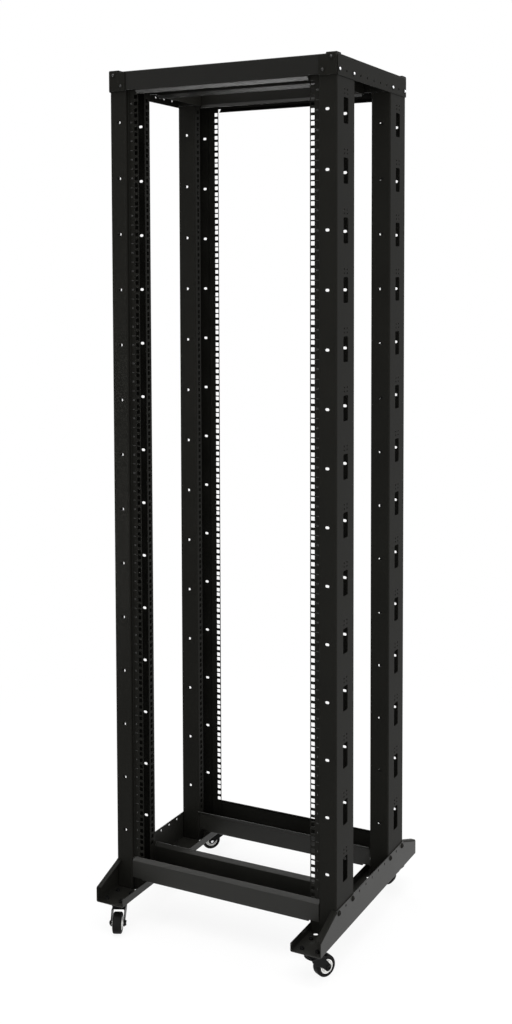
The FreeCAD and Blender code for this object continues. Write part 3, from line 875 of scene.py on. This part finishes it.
# Each head stops at its own angle, which comes from its place times one of these.
RAIL_HEAD_TURN, FOOT_HEAD_TURN, PLATE_HEAD_TURN = 0.7, 0.9, 900
for side_name, side in SIDES.items():
    out = (side, 0, 0)
    places = [
        facing((side * WALL_FACE, place_mm * mm, WALL_HOLE_HEIGHT), out, place_mm * RAIL_HEAD_TURN)
        for place_mm in BOLT_PLACES
    ]
    mesh = gathered("rail_washers", [washer] * len(places), places)
    frame_piece(f"top_side_rail_washers_{side_name}", mesh, coating)
    seats = [seat @ on_washer for seat in places]
    mesh = gathered("rail_bolts", [small_head] * len(seats), seats)
    new_piece(f"top_side_rail_bolts_{side_name}", mesh, "rack_frame", zinc_plate)
    height = FOOT_FLOOR + FOOT_WALL_HOLE_RISE
    places = [
        facing((side * WALL_FACE, place_mm * mm, height), out, place_mm * FOOT_HEAD_TURN)
        for place_mm in BOLT_PLACES
    ]
    mesh = gathered("foot_bolts", [large_head] * len(places), places)
    frame_piece(f"foot_bolts_{side_name}", mesh, coating)
    for end_name, end in ENDS.items():
        places = [
            facing((side * across, end * PLATE_FACE, height), (0, end, 0), across * PLATE_HEAD_TURN)
            for across, height in PLATE_BOLTS
        ]
        mesh = gathered("plate_washers", [washer] * len(places), places)
        frame_piece(f"corner_washers_{end_name}_{side_name}", mesh, coating)
        seats = [seat @ on_washer for seat in places]
        mesh = gathered("plate_bolts", [small_head] * len(seats), seats)
        frame_piece(f"corner_bolts_{end_name}_{side_name}", mesh, blackened_steel)

# ------------------------------------------------------------------ castors
# Four swivel castors with 50 mm wheels. Each has a pressed plate and raceway bolted under the
# foot, a folded fork on a ball race and a rivet, and a wheel of grey plastic with a rubber tyre.

material, output, place = blank_material("satin_black")
grain = place.node("ShaderNodeTexNoise", Vector=place, Scale=900.0, Detail=2.0)
cloud = place.node("ShaderNodeTexNoise", Vector=place, Scale=60.0, Detail=2.0)
tone = cloud * 0.003 + 0.0035
satin = place.node(
    "ShaderNodeBsdfPrincipled",
    Base_Color=place.node("ShaderNodeCombineColor", Red=tone, Green=tone, Blue=tone),
    Roughness=cloud * 0.14 + 0.26,
    Normal=place.node("ShaderNodeBump", Strength=0.25, Distance=0.0001, Height=grain),
    Specular_IOR_Level=0.06,
)
link_surface(output, satin)
satin_black = material

material, output, place = blank_material("rubber_tyre")
grain = place.node("ShaderNodeTexNoise", Vector=place, Scale=1600.0, Detail=3.0)
dust = place.node("ShaderNodeTexNoise", Vector=place, Scale=70.0, Detail=4.0)
tone = dust * 0.006 + 0.002
rubber = place.node(
    "ShaderNodeBsdfPrincipled",
    Base_Color=place.node("ShaderNodeCombineColor", Red=tone, Green=tone * 0.99, Blue=tone * 0.97),
    Roughness=dust * 0.25 + 0.42,
    Normal=place.node("ShaderNodeBump", Strength=0.3, Distance=0.0001, Height=grain),
    Specular_IOR_Level=0.06,
)
link_surface(output, rubber)
rubber_tyre = material

material, output, place = blank_material("grey_plastic")
mottle = place.node("ShaderNodeTexNoise", Vector=place, Scale=120.0, Detail=3.0)
grain = place.node("ShaderNodeTexNoise", Vector=place, Scale=1800.0, Detail=1.0)
tone = mottle * 0.08 + 0.66
plastic = place.node(
    "ShaderNodeBsdfPrincipled",
    Base_Color=place.node("ShaderNodeCombineColor", Red=tone, Green=tone * 0.995, Blue=tone * 0.975),
    Roughness=mottle * 0.2 + 0.28,
    Normal=place.node("ShaderNodeBump", Strength=0.12, Distance=0.0001, Height=grain),
)
link_surface(output, plastic)
grey_plastic = material

AXLE_HEIGHT = 25
PLATE_TOP = FOOT_FLOOR / mm
MOUNT_WIDTH, MOUNT_DEPTH, MOUNT_CORNER = 54 * mm, 66 * mm, 8 * mm
MOUNT_BOLTS = ((-19, -24), (19, -24), (19, 24), (-19, 24))
MOUNT_BOLT_HOLE = 6.6 * mm
AXLE_HOLE = 8.2 * mm
PIN_HOLE = 10.3 * mm
AXLE_SEAT = 17           # where the washers on the axle rest against the fork
AXLE_WASHER = 0.5
WHEEL_STEPS = 72


def in_mm(profile):
    return [(radius * mm, height * mm) for radius, height in profile]


raceway = turned(in_mm([
    (20.6, 72), (21.4, 71.7), (21.2, 70.9), (20.3, 70.2), (20, 69.2), (20, 64.7), (19.6, 63.6),
    (18.6, 63), (5, 63), (5, 52.7), (8.6, 52.7), (9, 52.3), (9, 51.3), (8, 50.2), (6, 49.7),
]), 48, "capped")
ball_race = turned(in_mm([
    (5.1, 62.6), (18.2, 62.6), (19, 61.9), (19, 60), (17.8, 59.5), (17.8, 58.7), (19, 58.2),
    (19, 56.3), (18.2, 55.6), (5.1, 55.6),
]), 48, "joined")


def hexagon_head(across, height):
    """A hexagon head or nut with its corners turned off, its seat at height 0."""
    steps = 24
    points, faces = [], []
    rings = []
    for depth, limit in ((0, across), (height * 0.8, across), (height, across * 0.49)):
        ring = []
        for step in range(steps):
            angle = 2 * math.pi * step / steps
            reach = min(hexagon_reach(across, angle), limit)
            ring.append(len(points))
            points.append(Vector((reach * math.cos(angle), reach * math.sin(angle), depth)))
        rings.append(ring)
    for lower, upper in zip(rings, rings[1:]):
        faces += band(lower, upper)
    faces += [tuple(reversed(rings[0])), tuple(rings[-1])]
    return points, faces


def sweep_between(start, first, second, finish, steps=8):
    """Points of a smooth edge that leaves one point and meets another along two handles."""
    points = [Vector(point) for point in (start, first, second, finish)]
    line = []
    for step in range(steps + 1):
        t = step / steps
        weights = ((1 - t) ** 3, 3 * t * (1 - t) ** 2, 3 * t * t * (1 - t), t ** 3)
        line.append(sum((point * weight for point, weight in zip(points, weights)), Vector((0, 0))))
    return line


FORK_SECTION = ((-15.75, 16.5), (-15.75, 54.35), (15.75, 54.35), (15.75, 16.5))
FORK_SHEET = 2.5 * mm
FORK_BEND = 3.4 * mm
FORK_BOSS = 8.5
TRAIL = 28
fork_fold = Fold(FORK_SECTION, FORK_BEND)
fork_length = fork_fold.length / mm
boss_centre = Vector((FORK_BOSS, TRAIL))


def on_boss(degrees):
    angle = math.radians(degrees)
    return boss_centre + Vector((math.cos(angle), math.sin(angle))) * FORK_BOSS


rear_edge = sweep_between(on_boss(235), (16, 12), (23, -17), (37, -17))
front_edge = sweep_between((37, 19), (29, 19), (20, 31), on_boss(62))
near_leg = front_edge[:-1] + [on_boss(degrees) for degrees in range(62, 235, 16)] + rear_edge
far_leg = [Vector((fork_length - point.x, point.y)) for point in reversed(near_leg)]
fork_outline = [point * mm for point in near_leg + far_leg]
fork_holes = [
    round_hole(boss_centre.x * mm, boss_centre.y * mm, AXLE_HOLE, 16),
    round_hole(fork_fold.length / 2, 0, PIN_HOLE),
    round_hole(fork_fold.length - boss_centre.x * mm, boss_centre.y * mm, AXLE_HOLE, 16),
]

shoulder = [
    (21 + 4 * math.cos(math.radians(angle)), 7 + 4 * math.sin(math.radians(angle)))
    for angle in range(0, 91, 18)
]
tread = [(25, 6), (25.1, 2.5), (25.1, -2.5), (25, -6)]
tyre_section = (
    [(16.4, 10.3), (16.9, 10.9)] + shoulder[::-1] + tread
    + [(radius, -height) for radius, height in shoulder] + [(16.9, -10.9), (16.4, -10.3)]
)
hub_face = [
    (4.1, 14), (6.5, 14), (7, 13.5), (7, 11.1), (8.6, 11), (9, 10.6), (9.4, 8.6), (13.2, 8.4),
    (13.8, 10.3), (14.3, 10.8), (15.9, 10.8), (16.5, 10.2),
]
hub_section = hub_face + [(radius, -height) for radius, height in reversed(hub_face)]
tyre_shape = turned(in_mm(tyre_section), WHEEL_STEPS, "joined")
hub_shape = turned(in_mm(hub_section), WHEEL_STEPS, "joined")


def rib_shape(angle, hand):
    """One of the ribs that stiffen the dished face of the wheel, with a sloping crest."""
    points = []
    for radius, height, half_width in (
        (9.1, 8.4, 1.1), (13.7, 8.4, 1.1), (13.7, 9.8, 0.7), (9.1, 10.3, 0.7),
    ):
        points += [Vector((radius * mm, edge * half_width * mm, hand * height * mm)) for edge in (-1, 1)]
    faces = [(0, 2, 4, 6), (1, 7, 5, 3), (0, 1, 3, 2), (2, 3, 5, 4), (4, 5, 7, 6), (6, 7, 1, 0)]
    return [Matrix.Rotation(angle, 3, "Z") @ point for point in points], faces


RIBS = 6
ribs = [
    rib_shape(math.radians(360 / RIBS * number), hand) for number in range(RIBS) for hand in (-1, 1)
]
axle_shank = turned(in_mm([(3.4, -17.4), (4, -17), (4, 17.4), (3.6, 21), (3.2, 21.3)]), 24, "capped")
axle_nut = hexagon_head(11.2 * mm, 3.4 * mm)
axle_washer = turned(
    in_mm([(4, 0), (6.2, 0), (6.4, 0.2), (6.2, AXLE_WASHER), (4, AXLE_WASHER)]), 32, "joined"
)
axle_button = button_head(6.3 * mm, 3.6 * mm, 5 * mm)
mount_bolt = hexagon_head(10 * mm, 4 * mm)
bolt_end = turned(in_mm([(3, -6), (3, 5.6), (2.6, 6.2)]), 16, "capped")


def raised(height):
    return Matrix.Translation((0, 0, height * mm))


def black_piece(name, mesh, body, replaced=()):
    """A satin black piece of a castor."""
    return new_piece(name, mesh, body, satin_black, replaced)


under_plate = Vector((0, 0, (PLATE_TOP - 2 * HALF_PLATE) * mm))
over_floor = Vector((0, 0, (PLATE_TOP + 2 * HALF_SHEET) * mm))
for end_name in ENDS:
    for side_name in SIDES:
        corner = f"{end_name}_{side_name}"
        fork, wheel = f"fork_{corner}", f"wheel_{corner}"
        plate_low, plate_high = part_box(f"castor_mount_{corner}")
        tyre_low, tyre_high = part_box(f"castor_tyre_{corner}")
        stem = (plate_low + plate_high) / 2
        stem.z = 0
        trail = (tyre_low + tyre_high) / 2 - stem
        swivel = Matrix.Translation(stem) @ Matrix.Rotation(math.atan2(trail.y, trail.x), 4, "Z")
        axle = (
            swivel @ Matrix.Translation((TRAIL * mm, 0, AXLE_HEIGHT * mm))
            @ Matrix.Rotation(math.pi / 2, 4, "X")
        )

        def put_mount(point, along):
            return stem + Vector((point.x - MOUNT_WIDTH / 2, along, point.y))

        flat = Fold(((0, PLATE_TOP - HALF_PLATE), (MOUNT_WIDTH / mm, PLATE_TOP - HALF_PLATE)))
        outline = square_hole(MOUNT_WIDTH / 2, 0, MOUNT_WIDTH, MOUNT_DEPTH, MOUNT_CORNER, 6)
        holes = [
            round_hole(MOUNT_WIDTH / 2 + across * mm, along * mm, MOUNT_BOLT_HOLE, 16)
            for across, along in MOUNT_BOLTS
        ]
        mesh = pressed_mesh("mount_plate", flat, outline, holes, put_mount, PLATE)
        black_piece(f"castor_plate_{corner}", mesh, "rack_frame", [f"castor_mount_{corner}"])
        mesh = gathered("raceway", [raceway], [swivel])
        black_piece(f"castor_raceway_{corner}", mesh, "rack_frame")
        shapes, places = [], []
        for across, along in MOUNT_BOLTS:
            spot = stem + Vector((across, along, 0)) * mm
            shapes += [mount_bolt, mount_bolt, bolt_end]
            places += [
                facing(spot + under_plate, (0, 0, -1), across),
                facing(spot + over_floor, (0, 0, 1), along),
                Matrix.Translation(spot + over_floor),
            ]
        mesh = gathered("mount_bolts", shapes, places)
        black_piece(f"castor_mount_bolts_{corner}", mesh, "rack_frame")

        mesh = gathered("ball_race", [ball_race], [swivel])
        black_piece(f"castor_ball_race_{corner}", mesh, fork, [f"castor_ring_{corner}"])

        def put_fork(point, along):
            return swivel @ Vector((along, point.x, point.y))

        mesh = pressed_mesh("fork", fork_fold, fork_outline, fork_holes, put_fork, FORK_SHEET)
        black_piece(f"pressed_fork_{corner}", mesh, fork, [f"castor_fork_{corner}"])
        far_side = axle @ Matrix.Rotation(math.pi, 4, "X")
        mesh = gathered("axle", [axle_shank], [far_side])
        name = f"wheel_axle_{corner}"
        new_piece(name, mesh, fork, zinc_plate, [f"castor_axle_{corner}"])
        mesh = gathered(
            "axle_ends", [axle_washer, axle_nut, axle_button],
            [
                far_side @ raised(AXLE_SEAT), far_side @ raised(AXLE_SEAT + AXLE_WASHER),
                axle @ raised(AXLE_SEAT),
            ],
        )
        black_piece(f"wheel_axle_ends_{corner}", mesh, fork)

        mesh = gathered("tyre", [tyre_shape], [axle])
        name = f"wheel_tyre_{corner}"
        new_piece(name, mesh, wheel, rubber_tyre, [f"castor_tyre_{corner}"])
        mesh = gathered("hub", [hub_shape] + ribs, [axle] * (1 + len(ribs)))
        name = f"wheel_hub_{corner}"
        new_piece(name, mesh, wheel, grey_plastic, [f"castor_hub_{corner}"])
